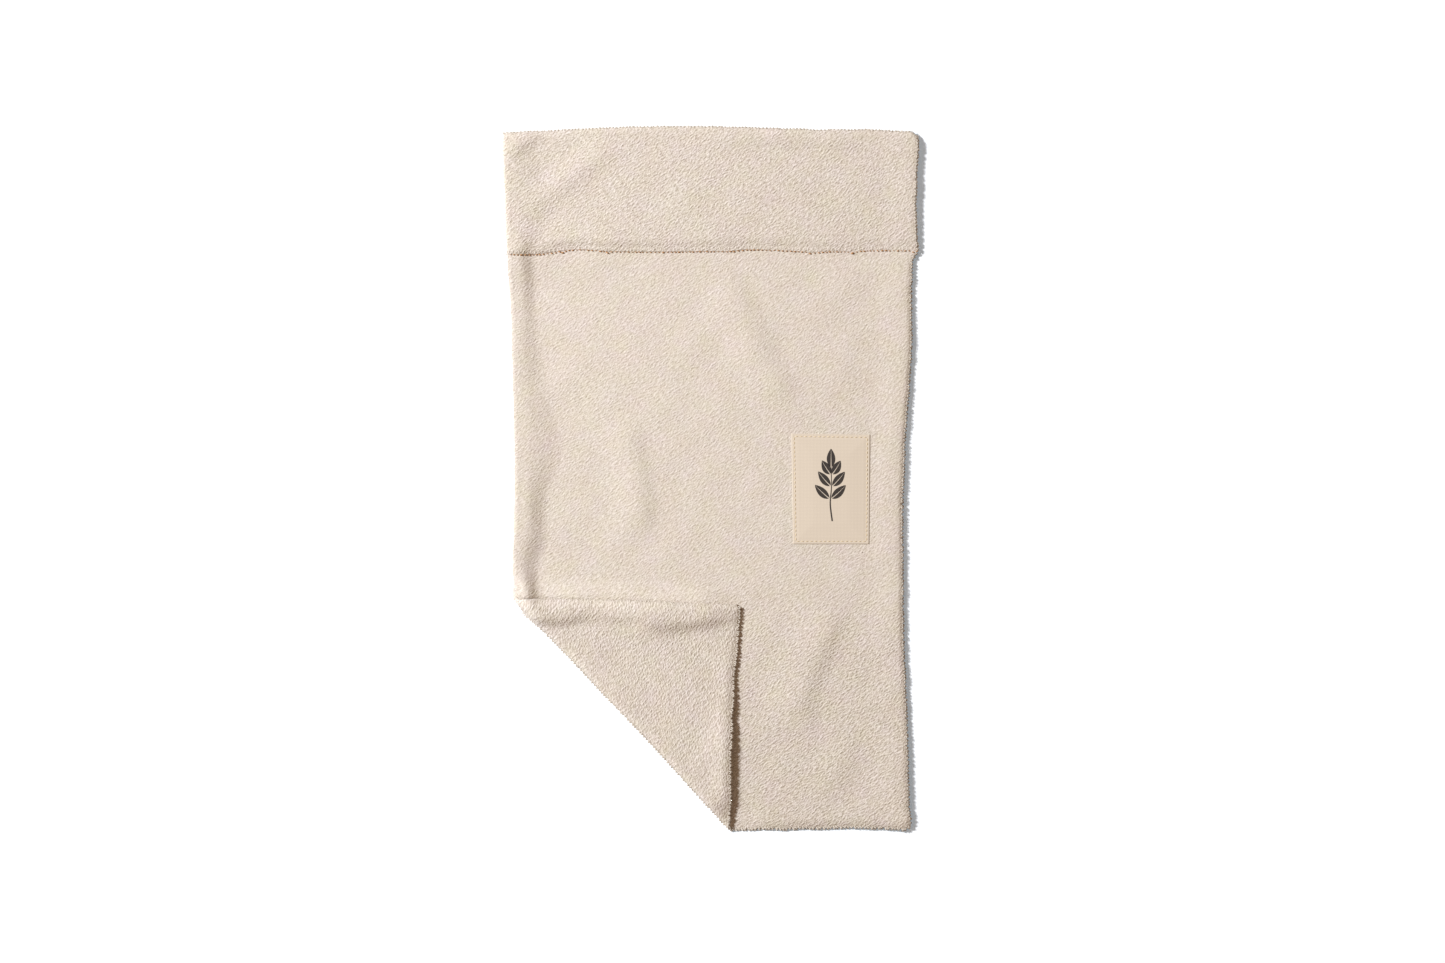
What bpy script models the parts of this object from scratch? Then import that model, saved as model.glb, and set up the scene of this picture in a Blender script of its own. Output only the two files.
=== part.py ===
"""A vegetable storage bag of cotton french terry, lying on its back with one corner turned over.

The bag is one pouch with its mouth turned down outwards into a cuff, and a woven label on the front.
The pouch is first made flat, with its plies on both sides of the plane z = 0. It is then laid on the
floor, where its front swells a little, and its lower left corner is rolled over onto the front.
Sizes here are in millimetres and the meshes are in metres. The bag's mouth points to +Y and its front
to +Z, and the origin is under the middle of the bag on the floor.
"""
import math

import bmesh
import bpy
import numpy as np

MM = 0.001

# Cloth
PLY = 1.3
PLY_GAP = 0.4
BODY_OUT = PLY_GAP / 2 + PLY
CUFF_IN = BODY_OUT + PLY_GAP
CUFF_OUT = CUFF_IN + PLY
TURN_MIDDLE = (BODY_OUT + CUFF_IN) / 2
TURN_OUT = CUFF_OUT - TURN_MIDDLE
BODY_STACK = 2 * BODY_OUT

# Outline of the flat pouch, as (height y, edge x) for the sides and (x, height y) for the rest
LEFT_SIDE = ((-239, -143.5), (-67, -136.5), (-40, -135.3), (45, -135.2), (82, -136.5), (115, -137.2),
             (132, -138.5), (149, -139.9), (158, -140.4))
RIGHT_SIDE = ((-243, 138), (-225, 136.5), (-183, 135.8), (-150, 135), (-117, 133.6), (-60, 133.2),
              (-17, 133.1), (8, 134.4), (32, 135.2), (49, 136.6), (66, 137.9), (99, 139.8), (125, 139.2),
              (152, 140.6))
LEFT_CUFF = ((157, -140.2), (176, -141.3), (198, -141.6), (212, -142.7), (240, -142.7))
RIGHT_CUFF = ((157, 142.8), (172, 141.7), (209, 141.9), (226, 142.9), (240, 142.9))
BOTTOM = ((-143.5, -239.2), (0, -242.4), (15, -243.4), (37, -242.3), (80, -242.1), (108, -241.6),
          (125, -243.3), (138, -244.2))
TOP = ((-142, 239.6), (-118, 240.5), (-95, 241.2), (-72, 242.6), (-50, 243.5), (12, 243.5), (48, 242.1),
       (75, 241.2), (108, 241.8), (125, 240.7), (143, 240))
MOUTH = ((-140, 155.1), (-125, 155.1), (-112, 156.6), (-97, 158.6), (-72, 157.5), (-6, 157.5),
         (14, 157.8), (23, 158.8), (37, 158.6), (60, 157.5), (69, 156.4), (80, 157.4), (96, 157.3),
         (107, 158.2), (142, 158.1))
CUFF_EDGE = 157.5
CUFF_SPREAD = 7
TOP_LEFT_CORNER = 3
TOP_RIGHT_CORNER = 8
BOTTOM_CORNER = 5

# Turned corner: the outer line of its bend runs through this point in this direction
FOLD_POINT = (-120.6, -100.2)
FOLD_ANGLE = math.radians(-47)
BEND_INSIDE = 2
BEND_AXIS = BODY_STACK + BEND_INSIDE
BEND_LENGTH = math.pi * (BEND_INSIDE + BODY_STACK / 2)
BEND_STEPS = 8
FLAP_CLEAR = 0.4
FLAP_SETTLES = 100
FLAP_EDGE = (21, -84)

# Rise of the pouch towards the thicker cuff
CUFF_REACH = 30

# Swell of the front ply. A ridge along a side is (distance in from the side, half width, height), the left
# one's height follows y, and a soft crease is (x, y of both ends, half width, height).
FRONT_SWELL = 1.0
SWELL_STARTS = 8
SWELL_FULL = 18
BEAD_INSET = 3.5
BEAD_HALF = 6
BEAD_HEIGHT = ((-84, 1.0), (6, 0.9), (27, 0.4), (124, 0.5), (150, 1.2), (160, 0.6))
RIGHT_RIDGE = (6.5, 8, 0.5)
CREASES = ((-57, 41, -46, 13, 13, 0.7), (-46, 13, -44, -30, 13, 0.7), (15, 141, 33, 100, 14, 0.5),
           (33, 100, 50, 62, 14, 0.5), (83, -104, 64, -149, 16, -0.6), (64, -149, 65, -177, 14, -0.5),
           (-73, 224, -128, 173, 11, -0.7))
CUFF_SWELL = 0.6

# Where the plies are held together again: reach from a seam, the mouth's edge, the turn and the bend
SIDE_REACH = 4
SEAM_REACH = 10
MOUTH_REACH = 9
TURN_REACH = 8
FLAP_REACH = 12
BEND_REACH = 15

# Swell of the cloth on top in the turned corner, as ridge and hollow (x, y, half width, depth)
FLAP_BEAD = (3.5, 7, 1.6)
FLAP_SWELL = 1.0
FLAP_STARTS = 16
FLAP_FULL = 32
FLAP_HOLLOW = (-122, -117, 16, 0.6)
FLAP_PARTS = 0.6

# Label
LABEL_CORNERS = ((55.9, -44.9), (108.1, -44.9), (108.8, 31.8), (54.5, 31.8))
LABEL_THICK = 0.8
LABEL_CLEAR = 0.3
LABEL_FLAT = 12
LABEL_STEPS = (5, 7)

# Steps of the mesh: distances from a side edge, and numbers of steps
SIDE_STEPS = (0, 2, 4, 7.5, 12, 19)
ACROSS_STEPS = 12
SIDE_TURN_STEPS = 4
BODY_STEPS = 24
CUFF_STEPS = 6
SETTLE_ROUNDS = 4


def smoothstep(t):
    t = np.clip(t, 0, 1)
    return t * t * (3 - 2 * t)


def ramp(value, start, end):
    """Goes softly from 0 to 1 between two values."""
    return smoothstep((value - start) / (end - start))


def bell(t):
    return (1 - np.clip(t * t, 0, 1)) ** 2


def ridge(distance, place):
    """A rounded ridge along a side, from its inset, half width and height."""
    inset, half_width, height = place
    return height * bell((distance - inset) / half_width)


def curve(table, at):
    """Reads a smooth curve through a table's points, level beyond its ends."""
    knots, values = np.array(table, float).T
    slopes = np.gradient(values, knots)
    at = np.clip(at, knots[0], knots[-1])
    i = np.clip(np.searchsorted(knots, at, side="right") - 1, 0, len(knots) - 2)
    width = knots[i + 1] - knots[i]
    t = (at - knots[i]) / width
    ends = values[i] * (1 + 2 * t) * (1 - t) ** 2 + values[i + 1] * t * t * (3 - 2 * t)
    return ends + width * t * (1 - t) * (slopes[i] * (1 - t) - slopes[i + 1] * t)


def side_ends(y):
    """Where the straight part of the plies ends at a height, on the left and on the right."""
    in_cuff = ramp(y, CUFF_EDGE - CUFF_SPREAD, CUFF_EDGE)
    left_body = curve(LEFT_SIDE, y) + BODY_OUT
    right_body = curve(RIGHT_SIDE, y) - BODY_OUT
    left = left_body + (curve(LEFT_CUFF, y) + CUFF_OUT - left_body) * in_cuff
    right = right_body + (curve(RIGHT_CUFF, y) - CUFF_OUT - right_body) * in_cuff
    return left, right


def corner_cut(inset, radius):
    """How far a rounded corner has pulled the edge in, at a distance from the side."""
    reach = np.clip(radius - inset, 0, radius)
    return radius - np.sqrt(radius**2 - reach**2)


def bottom_y(x):
    from_left = x - LEFT_SIDE[0][1]
    from_right = RIGHT_SIDE[0][1] - x
    return curve(BOTTOM, x) + corner_cut(from_left, BOTTOM_CORNER) + corner_cut(from_right, BOTTOM_CORNER)


def top_y(x):
    from_left = x - LEFT_CUFF[-1][1]
    from_right = RIGHT_CUFF[-1][1] - x
    corners = corner_cut(from_left, TOP_LEFT_CORNER) + corner_cut(from_right, TOP_RIGHT_CORNER)
    return curve(TOP, x) - corners


def profile_rows():
    """Goes once round the cloth in a section: (distance from the middle plane, span, share, offset in y)."""
    body = np.linspace(0, 1, BODY_STEPS + 1)
    cuff = np.linspace(0, 1, CUFF_STEPS + 1)[1:]
    edge = PLY / 3
    inner = PLY_GAP / 2
    rows = [(BODY_OUT * math.sin(a), "body", 0, -BODY_OUT * math.cos(a)) for a in (0, math.pi / 4)]
    rows += [(BODY_OUT, "body", f, 0) for f in body] + [(BODY_OUT, "cuff", f, 0) for f in cuff]
    rows += [(TURN_MIDDLE, "cuff", 1, inner)]
    rows += [(CUFF_IN, "cuff", f, 0) for f in cuff[::-1]]
    rows += [(CUFF_IN, "cuff", 0, edge), (CUFF_IN + edge, "cuff", 0, 0)]
    rows += [(CUFF_OUT - edge, "cuff", 0, 0), (CUFF_OUT, "cuff", 0, edge)]
    rows += [(CUFF_OUT, "cuff", f, 0) for f in cuff]
    turn = [math.radians(a) for a in (45, 90, 135)]
    rows += [(TURN_MIDDLE + TURN_OUT * math.cos(a), "cuff", 1, TURN_OUT * math.sin(a)) for a in turn]
    rows += [(inner, "cuff", f, 0) for f in cuff[::-1]] + [(inner, "body", f, 0) for f in body[::-1]]
    return rows + [(0, "body", 0, -inner)]


def ring_columns():
    """Goes once round the flattened pouch: (share of its width, turn angle, front or back)."""
    width = RIGHT_CUFF[-1][1] - LEFT_CUFF[-1][1]
    near = [d / width for d in SIDE_STEPS]
    middle = list(np.linspace(near[-1], 1 - near[-1], ACROSS_STEPS + 1))[1:-1]
    across = near + middle + [1 - f for f in near[::-1]]
    turns = [math.pi * k / SIDE_TURN_STEPS for k in range(1, SIDE_TURN_STEPS)]
    front = [(f, 0, 1) for f in across]
    right = [(1, a, math.cos(a)) for a in turns]
    back = [(f, 0, -1) for f in across[::-1]]
    left = [(0, -a, -math.cos(a)) for a in turns]
    return front + right + back + left + front[:1]


def flat_pouch(rows, columns):
    """Places every crossing of a profile row with a ring column, as an array of points.

    The width depends on the height and the height on the place across, so both settle in a few rounds.
    """
    offset = np.array([row[0] for row in rows])[:, None]
    in_cuff = np.array([row[1] == "cuff" for row in rows])[:, None]
    share = np.array([row[2] for row in rows])[:, None]
    shift = np.array([row[3] for row in rows])[:, None]
    width, turn, side = (np.array(values)[None] for values in zip(*columns))
    left, right = side_ends(np.zeros(share.shape))
    for _ in range(SETTLE_ROUNDS):
        x = left + (right - left) * width
        low = np.where(in_cuff, curve(MOUTH, x), bottom_y(x) + BODY_OUT)
        high = np.where(in_cuff, top_y(x) - TURN_OUT, curve(MOUTH, x))
        y = low + (high - low) * share + shift
        left, right = side_ends(y)
    return np.stack([x + offset * np.sin(turn), y, offset * side], axis=-1)


def beyond_fold(x, y):
    """Distance of a flat point past the line where the corner starts to bend."""
    out_x, out_y = math.sin(FOLD_ANGLE), -math.cos(FOLD_ANGLE)
    across = (x - FOLD_POINT[0]) * out_x + (y - FOLD_POINT[1]) * out_y
    return across + BEND_AXIS


def crease(x, y, x1, y1, x2, y2, half_width, height):
    """A soft ridge, or a hollow where its height is negative, along a short line."""
    dx, dy = x2 - x1, y2 - y1
    along = np.clip(((x - x1) * dx + (y - y1) * dy) / (dx * dx + dy * dy), 0, 1)
    return height * bell(np.hypot(x - x1 - along * dx, y - y1 - along * dy) / half_width)


def front_swell(x, y):
    """How far the front ply stands off the back ply, none at the seams and under the turned corner."""
    left, right = side_ends(y)
    swell = FRONT_SWELL * ramp(x - left, SWELL_STARTS, SWELL_FULL) + ridge(right - x, RIGHT_RIDGE)
    swell += ridge(x - left, (BEAD_INSET, BEAD_HALF, curve(BEAD_HEIGHT, y)))
    folds = sum(crease(x, y, *row) for row in CREASES)
    label_x = (LABEL_CORNERS[3][0] - x, x - LABEL_CORNERS[2][0])
    label_y = (LABEL_CORNERS[0][1] - y, y - LABEL_CORNERS[2][1])
    off_label = np.maximum(np.maximum(*label_x), np.maximum(*label_y))
    swell += folds * ramp(off_label, 0, LABEL_FLAT)
    seams = ramp(x - left, 0, SIDE_REACH) * ramp(right - x, 0, SIDE_REACH)
    seams *= ramp(y - bottom_y(x), BODY_OUT, SEAM_REACH) * ramp(top_y(x) - y, TURN_OUT, TURN_REACH)
    off_flap = ramp(np.maximum(x - FLAP_EDGE[0], y - FLAP_EDGE[1]), 0, FLAP_REACH)
    return swell * seams * off_flap * ramp(-beyond_fold(x, y), 0, BEND_REACH)


def flap_swell(x, y):
    """How far the back ply, which lies on top in the turned corner, stands off the other."""
    left = side_ends(y)[0]
    swell = ridge(x - left, FLAP_BEAD) + FLAP_SWELL * ramp(x - left, FLAP_STARTS, FLAP_FULL)
    hollow_x, hollow_y, half_width, depth = FLAP_HOLLOW
    swell -= depth * bell(np.hypot(x - hollow_x, y - hollow_y) / half_width)
    seams = ramp(x - left, 0, SIDE_REACH) * ramp(y - bottom_y(x), BODY_OUT, SEAM_REACH)
    return swell * seams * ramp(beyond_fold(x, y) / BEND_LENGTH, FLAP_PARTS, 1)


def lay_down(flat):
    """Sets flat points on the floor, swells the front and turns the corner over it."""
    x, y, z = flat.T
    mouth = curve(MOUTH, x)
    rest = BODY_OUT + (CUFF_OUT - BODY_OUT) * ramp(y, mouth - CUFF_REACH, mouth)
    front = ramp(z, -PLY_GAP / 2, PLY_GAP / 2)
    cuff = ramp(y - mouth, 0, MOUTH_REACH) * ramp(top_y(x) - y, TURN_OUT, TURN_REACH)
    on_top = ramp(z, BODY_OUT, CUFF_IN)
    height = z + rest + front * front_swell(x, y) + on_top * cuff * CUFF_SWELL
    past = beyond_fold(x, y)
    angle = math.pi * np.clip(past / BEND_LENGTH, 0, 1)
    flat_past = np.maximum(past - BEND_LENGTH, 0)
    radius = BEND_AXIS - height
    moved = radius * np.sin(angle) - flat_past - np.maximum(past, 0)
    drop = (2 * BEND_INSIDE - FLAP_CLEAR) * ramp(flat_past, 0, FLAP_SETTLES)
    height = BEND_AXIS - radius * np.cos(angle) - drop + (1 - front) * flap_swell(x, y)
    x = x + moved * math.sin(FOLD_ANGLE)
    y = y - moved * math.cos(FOLD_ANGLE)
    return np.stack([x, y, height], axis=-1)


def principled(name, colour, roughness):
    material = bpy.data.materials.new(name)
    material.use_nodes = True
    shader = material.node_tree.nodes["Principled BSDF"]
    shader.inputs["Base Color"].default_value = (*colour, 1)
    shader.inputs["Roughness"].default_value = roughness
    shader.inputs["Metallic"].default_value = 0
    return material


def add_object(name, bm, collection, material):
    mesh = bpy.data.meshes.new(name)
    bm.to_mesh(mesh)
    bm.free()
    mesh.shade_smooth()
    mesh.set_sharp_from_angle(angle=math.radians(40))
    mesh.materials.append(material)
    part = bpy.data.objects.new(name, mesh)
    collection.objects.link(part)
    return part


def grid_of(points):
    """A grid mesh whose crossings take the places in an array of points, in millimetres."""
    rows, columns = points.shape[:2]
    bm = bmesh.new()
    bmesh.ops.create_grid(bm, x_segments=columns - 1, y_segments=rows - 1, size=1)
    for vertex in bm.verts:
        column = round((vertex.co.x + 1) / 2 * (columns - 1))
        row = round((vertex.co.y + 1) / 2 * (rows - 1))
        vertex.co = points[row, column] * MM
    return bm


def make_bag(collection):
    bm = grid_of(flat_pouch(profile_rows(), ring_columns()))
    bmesh.ops.remove_doubles(bm, verts=bm.verts, dist=0.001 * MM)
    out = (math.sin(FOLD_ANGLE), -math.cos(FOLD_ANGLE), 0)
    for step in range(BEND_STEPS + 1):
        past = BEND_LENGTH * step / BEND_STEPS - BEND_AXIS
        place = [(p + past * n) * MM for p, n in zip((*FOLD_POINT, 0), out)]
        geometry = bm.verts[:] + bm.edges[:] + bm.faces[:]
        bmesh.ops.bisect_plane(bm, geom=geometry, dist=0.01 * MM, plane_co=place, plane_no=out)
    bmesh.ops.triangulate(bm, faces=bm.faces)
    flat = np.array([vertex.co for vertex in bm.verts]) / MM
    for vertex, place in zip(bm.verts, lay_down(flat)):
        vertex.co = place * MM
    bmesh.ops.recalc_face_normals(bm, faces=bm.faces)
    add_object("bag_cloth", bm, collection, principled("french_terry", (0.76, 0.67, 0.58), 0.95))


def make_label(collection):
    across, up = LABEL_STEPS
    u = np.linspace(0, 1, across + 1)[None, :, None]
    v = np.linspace(0, 1, up + 1)[:, None, None]
    low_left, low_right, high_right, high_left = np.array(LABEL_CORNERS)
    place = (low_left * (1 - u) + low_right * u) * (1 - v) + (high_left * (1 - u) + high_right * u) * v
    flat = np.concatenate([place, np.full(place.shape[:2] + (1,), BODY_OUT)], axis=-1)
    laid = lay_down(flat.reshape(-1, 3)).reshape(flat.shape)
    laid[..., 2] += LABEL_CLEAR
    material = principled("cotton_label", (0.76, 0.65, 0.53), 0.9)
    label = add_object("label", grid_of(laid), collection, material)
    thicken = label.modifiers.new("thickness", "SOLIDIFY")
    thicken.thickness = LABEL_THICK * MM
    thicken.offset = 1


def main():
    for old in list(bpy.data.objects):
        bpy.data.objects.remove(old, do_unlink=True)
    collection = bpy.data.collections.new("vegetable_storage_bag")
    bpy.context.scene.collection.children.link(collection)
    make_bag(collection)
    make_label(collection)


main()
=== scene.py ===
"""Looks of a vegetable storage bag of undyed cotton french terry, lying flat with a corner turned over.

The bag's cloth, label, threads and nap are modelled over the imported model. The bag is first made as a flat
pouch, with its plies on both sides of the plane z = 0. It is then laid on the floor, where its front
swells a little, and its lower left corner is rolled over onto the front. Lengths are in millimetres here
and in metres in the meshes.
"""
import math
from functools import partial

import bmesh
import bpy
import numpy as np
from mathutils import Matrix, Vector


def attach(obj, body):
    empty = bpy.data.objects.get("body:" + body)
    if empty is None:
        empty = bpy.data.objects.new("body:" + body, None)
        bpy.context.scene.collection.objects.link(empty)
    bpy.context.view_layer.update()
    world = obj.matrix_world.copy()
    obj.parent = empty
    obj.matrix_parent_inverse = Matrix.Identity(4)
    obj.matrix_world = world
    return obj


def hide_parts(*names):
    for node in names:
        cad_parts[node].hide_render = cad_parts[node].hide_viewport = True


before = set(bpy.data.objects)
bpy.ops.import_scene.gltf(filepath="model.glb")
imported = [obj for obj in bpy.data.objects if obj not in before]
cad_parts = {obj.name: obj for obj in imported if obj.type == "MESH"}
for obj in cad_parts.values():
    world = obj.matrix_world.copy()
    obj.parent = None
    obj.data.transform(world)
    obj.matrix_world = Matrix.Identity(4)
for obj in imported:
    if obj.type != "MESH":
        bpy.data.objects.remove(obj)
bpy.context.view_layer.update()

MM = 0.001
RNG = np.random.default_rng(7)

# Cloth
PLY = 1.3
PLY_GAP = 0.4
FLOOR_CLEAR = 0.02
BODY_OUT = PLY_GAP / 2 + PLY
CUFF_IN = BODY_OUT + PLY_GAP
CUFF_OUT = CUFF_IN + PLY
TURN_MIDDLE = (BODY_OUT + CUFF_IN) / 2
TURN_OUT = CUFF_OUT - TURN_MIDDLE
BODY_STACK = 2 * BODY_OUT

# Outline of the flat pouch, as (height y, edge x) for the sides and (x, height y) for the rest
LEFT_SIDE = ((-239, -144.2), (-95, -139.2), (-82, -138), (-73, -137.6), (-61, -138.1), (-41, -137.5),
             (-18, -137.1), (13, -137), (45, -137.6), (82, -138.7), (115, -139.4), (131, -140.5),
             (149, -141.9), (158, -142.2))
RIGHT_SIDE = ((-243, 137.2), (-225, 135.6), (-183, 134.5), (-150, 133.4), (-117, 131.9), (-60, 131.3),
              (-17, 131.1), (8, 132.2), (32, 133), (49, 134.4), (66, 135.7), (99, 137.4), (125, 137),
              (152, 138))
LEFT_CUFF = ((157, -142.1), (176, -143.1), (198, -143.7), (212, -144.6), (240, -144.8))
RIGHT_CUFF = ((157, 142.3), (172, 141.1), (209, 141.2), (226, 142.1), (240, 142.6))
BOTTOM = ((-143.5, -238.6), (-136, -238.6), (-127, -238.2), (-118, -238.3), (-110, -238.3), (-98, -237.4),
          (-86, -237.9), (-78, -238.3), (-69, -238.1), (-61, -238.7), (-52, -239.3), (-36, -239.7),
          (-27, -240.4), (-19, -241.2), (-2, -242.2), (6, -242.5), (15, -242.1), (26, -242), (36, -241.3),
          (47, -241.8), (60, -241.1), (78, -241.1), (88, -240.6), (109, -240.8), (119, -241.1),
          (130, -241.7), (138, -242.4))
TOP = ((-142, 239.2), (-118, 240.2), (-95, 241.4), (-72, 242.5), (-50, 243.2), (12, 243.1), (48, 242.1),
       (75, 241.2), (108, 241.3), (125, 240.4), (143, 239.9))
MOUTH = ((-140, 154.6), (-125, 154.6), (-112, 155.9), (-97, 157.9), (-72, 156.9), (-6, 156.9),
         (14, 157.2), (23, 158.1), (37, 157.9), (60, 156.9), (69, 156.2), (80, 156.9), (96, 156.8),
         (107, 157.5), (142, 157.4))

# The cuff's wider outline holds from here up, and the change to it starts this far below
CUFF_EDGE = 157.5
CUFF_SPREAD = 7

# Radii of the corners, and unevenness of the outline
TOP_LEFT_CORNER = 1.8
TOP_RIGHT_CORNER = 8
BOTTOM_LEFT_CORNER = 4
BOTTOM_RIGHT_CORNER = 5
EDGE_WOBBLE = 0.12

# How far the turn round a side stands out, against a round one as on the body's right side
LEFT_PINCH = 0.6
RIGHT_CUFF_PINCH = 0.6

# Turned corner: the outer line of its bend runs through this point in this direction
FOLD_POINT = (-120.6, -100.2)
FOLD_ANGLE = math.radians(-47)
FOLD_ALONG = (math.cos(FOLD_ANGLE), math.sin(FOLD_ANGLE))
FOLD_OUT = (math.sin(FOLD_ANGLE), -math.cos(FOLD_ANGLE))
BEND_INSIDE = 2
BEND_AXIS = BODY_STACK + BEND_INSIDE
BEND_LENGTH = math.pi * (BEND_INSIDE + BODY_STACK / 2)
BEND_STEPS = 16

# The seamed left side is thick, so the bend swings out round it: how far, and where as (inset, reach)
BEND_BULGE = 1.8
BULGE_AT = (11, 13)
BULGE_FADES = 60

# The line isn't quite straight: (run along it, shift inwards)
FOLD_SWAY = ((10, -0.3), (40, 0.15), (64, 0.15), (87, 0.5), (110, 0.7), (138, 0.45), (160, 0.1), (178, 0),
             (190, -0.3))

# Rise of the pouch towards the thicker cuff
CUFF_REACH = 30

# Swell of the front ply. The left side stands up as a shelf over its seam: (y, height, start and end of its
# flank as distances in from the edge). The right side's fold is a ridge: (y, height), from its crest in to
# its foot.
FRONT_SWELL = 1.0
LEFT_ROUND = 0.9
LEFT_SHELF = ((-90, 5.2, 9, 20.5), (-84, 5.6, 8.5, 19.5), (-73, 5.7, 7.5, 18.5), (-59, 4.1, 5, 19.5),
              (-42, 4.3, 7.5, 24.5), (-28, 3.9, 8.5, 23.5), (-8, 3.5, 8, 25), (13, 3.4, 8, 35),
              (55, 2.8, 6, 28), (96, 2.1, 6, 20), (117, 2.0, 8, 18.5), (131, 2.7, 8.5, 19),
              (148, 3.5, 8.5, 19.5), (157, 3.6, 8, 19), (175, 1.8, 6, 32), (205, 2.5, 6, 32),
              (240, 2.2, 5, 24))

# Before the bend the shelf gets lower: its share there, where that starts, and how far past it ends
SHELF_AT_BEND = 0.5
SHELF_LOWERS = 9
SHELF_ENDS = 6

# Under the turned corner the shelf is pressed: by how much, and over which distances inside its edge
SHELF_PRESS = 0.6
SHELF_PRESSED = (-2, 6)
RIGHT_ROUND = 2.6
RIGHT_CUFF_ROUND = 1.5
RIGHT_RIDGE = ((-243, 0.7), (-190, 0.4), (-150, 0.5), (-97, 1.0), (60, 1.2), (110, 0.9), (150, 0.7),
               (170, 1.2), (240, 1.2))
RIDGE_CREST = 5
RIDGE_FOOT = 26

# The lower right corner curls up off the floor: how far, over which heights, and how far in
CORNER_LIFT = 1.2
CORNER_RISES = (-100, -235)
CORNER_WIDE = 45

# Folds in the cloth: the middle of the short flank, from its upper end down, and then the height, the width
# of the flank and the reach of the long slope behind it. Their ends fade over this share of them.
FOLD_ENDS = 0.3
FOLDS = (
    (((-57, 50), (-47, 10), (-43, -19), (-44, -52)), 1.4, 14, 24),
    (((6, 158), (36, 99), (47, 76), (66, 38)), 1.3, 17, 28),
    (((94, -80), (83, -113), (74, -136), (67, -154), (72, -185)), 1.6, 15, 34),
    (((104, 106), (98, 86), (91, 62)), 0.5, 14, 20),
    (((104, -170), (96, -195), (87, -217)), 0.5, 14, 22),
)
CUFF_FOLDS = (
    (((-58, 231), (-86, 210), (-105, 195), (-132, 170)), 1.1, 13, 16),
    (((-112, 238), (-128, 228), (-144, 217)), 1.2, 9, 8),
    (((120, 229), (60, 230), (-12, 230)), 1.4, 8, 12),
)
CUFF_FOLDS_START = 20

# The cuff's outer ply: how far it stands off what it lies on, and how far it droops at its hem as (x, depth)
CUFF_SWELL = 1.6
CUFF_DROOP = ((-140, 0), (-126, 0.2), (-116, 1.2), (-98, 2.1), (-80, 2.2), (-60, 2.15), (-10, 2.15),
              (15, 2.2), (35, 2.2), (60, 2.1), (75, 1.7), (100, 1.5), (140, 1.5))

# The hem: its level strip, the slope above it, and its thick rim. It sinks, and its edge is tucked in, each
# as (x, depth) and then how far up.
HEM_FLAT = 2.6
HEM_DROPS = 4.2
HEM_RIM = 0.35
HEM_RIM_WIDE = 0.6
HEM_SINKS = ((-140, 1.9), (-126, 1.6), (-114, 1), (-104, 0.56), (-95, 0.22), (-80, 0), (-60, 0), (30, 0),
             (60, 0.18), (90, 0.62), (120, 0.93), (140, 1))
HEM_SINKS_WIDE = 45
HEM_TUCKS = ((-140, 1.2), (-124, 1.1), (-112, 0.8), (-98, 0.75), (40, 0.75), (60, 0.8), (75, 1.1), (90, 1.1),
             (140, 1.1))
HEM_TUCKS_WIDE = 2.2

# The cuff is pressed flatter towards the right: by which share, and from how far in
CUFF_PRESS = 0.42
CUFF_PRESS_WIDE = 280

# The bottom seam presses its plies thinner: by which share, up to where, and where along x this sets in
SEAM_THIN = 0.35
SEAM_WIDE = 5
SEAM_THINS_ALONG = (-150, -105)

# Where the plies are held together: reach from a seam, the turn and the bend
SEAM_REACH = 5
TURN_REACH = 5
BEND_REACH = 15

# Swell of the cloth on top in the turned corner: its roll along the turned side as for the shelf, and a long
# slope beside it as (start, end, height), which fades towards the bottom seam as (start, end, share). Then
# its two folds.
FLAP_ROLL = ((-243, 0.4, 8, 14), (-230, 1.7, 9.5, 15.5), (-210, 3.9, 10, 21), (-184, 4.7, 10, 23.5),
             (-160, 3.3, 8.5, 18.5), (-141, 2.3, 7.5, 16), (-122, 4.3, 9.5, 19.5), (-108, 4.8, 9.5, 18.5),
             (-95, 4.2, 9.5, 17.5))
FLAP_TAIL = (13, 40, 1.6)
FLAP_TAIL_FADES = (160, 232, 0.85)
FLAP_FOLDS = (
    (((9, -99), (-15.5, -104), (-43, -107), (-70, -111)), 0.8, 10, 6),
    (((5, -184), (-2, -195), (-9, -206)), 0.6, 9, 10),
)

# Where its plies are held together: reach from its side, from its seam over a stretch of x, and the share
# of the bend from which they part
FLAP_ROUND = 7
FLAP_SEAM_REACH = (2.5, 5)
FLAP_SEAM_ALONG = (-128, -104)
FLAP_PARTS = 0.6

# Past its bend it settles until it is this far clear of the front, over this length
FLAP_CLEAR = 0.4
FLAP_SETTLES = 100

# Its inside sags sooner: by these shares over a stretch of x, over a length, and off its side and its seam
FLAP_SAGS = (0.35, 0.55)
FLAP_SAGS_ALONG = (-40, 0)
FLAP_SAG = (0, 18)
SAG_OFF_SIDE = (8, 25)
SAG_OFF_SEAM = (4, 18)

# Its side settles sooner too: by which share, how near the side, and over which length, like its thin seam
FLAP_SIDE_SETTLES = 0.8
FLAP_SIDE = (30, 5)
FLAP_SIDE_SOON = 12
FLAP_THIN_SOON = 10

# Its seam stands off the front as (x, height), this far up and over this length past the bend
FLAP_SEAM_LIFT = ((-140, -1), (-128, -0.6), (-112, -0.1), (-95, 0), (-78, 0.3), (-46, 1.2), (-15, 0),
                  (-5, -0.4))
FLAP_SEAM_WIDE = 25
FLAP_SEAM_SOON = 15

# Its tip is pressed down: where on the front, how far round it, and by which share
TIP = (15.5, -240)
TIP_REACH = 24
TIP_PRESS = 0.5

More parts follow.
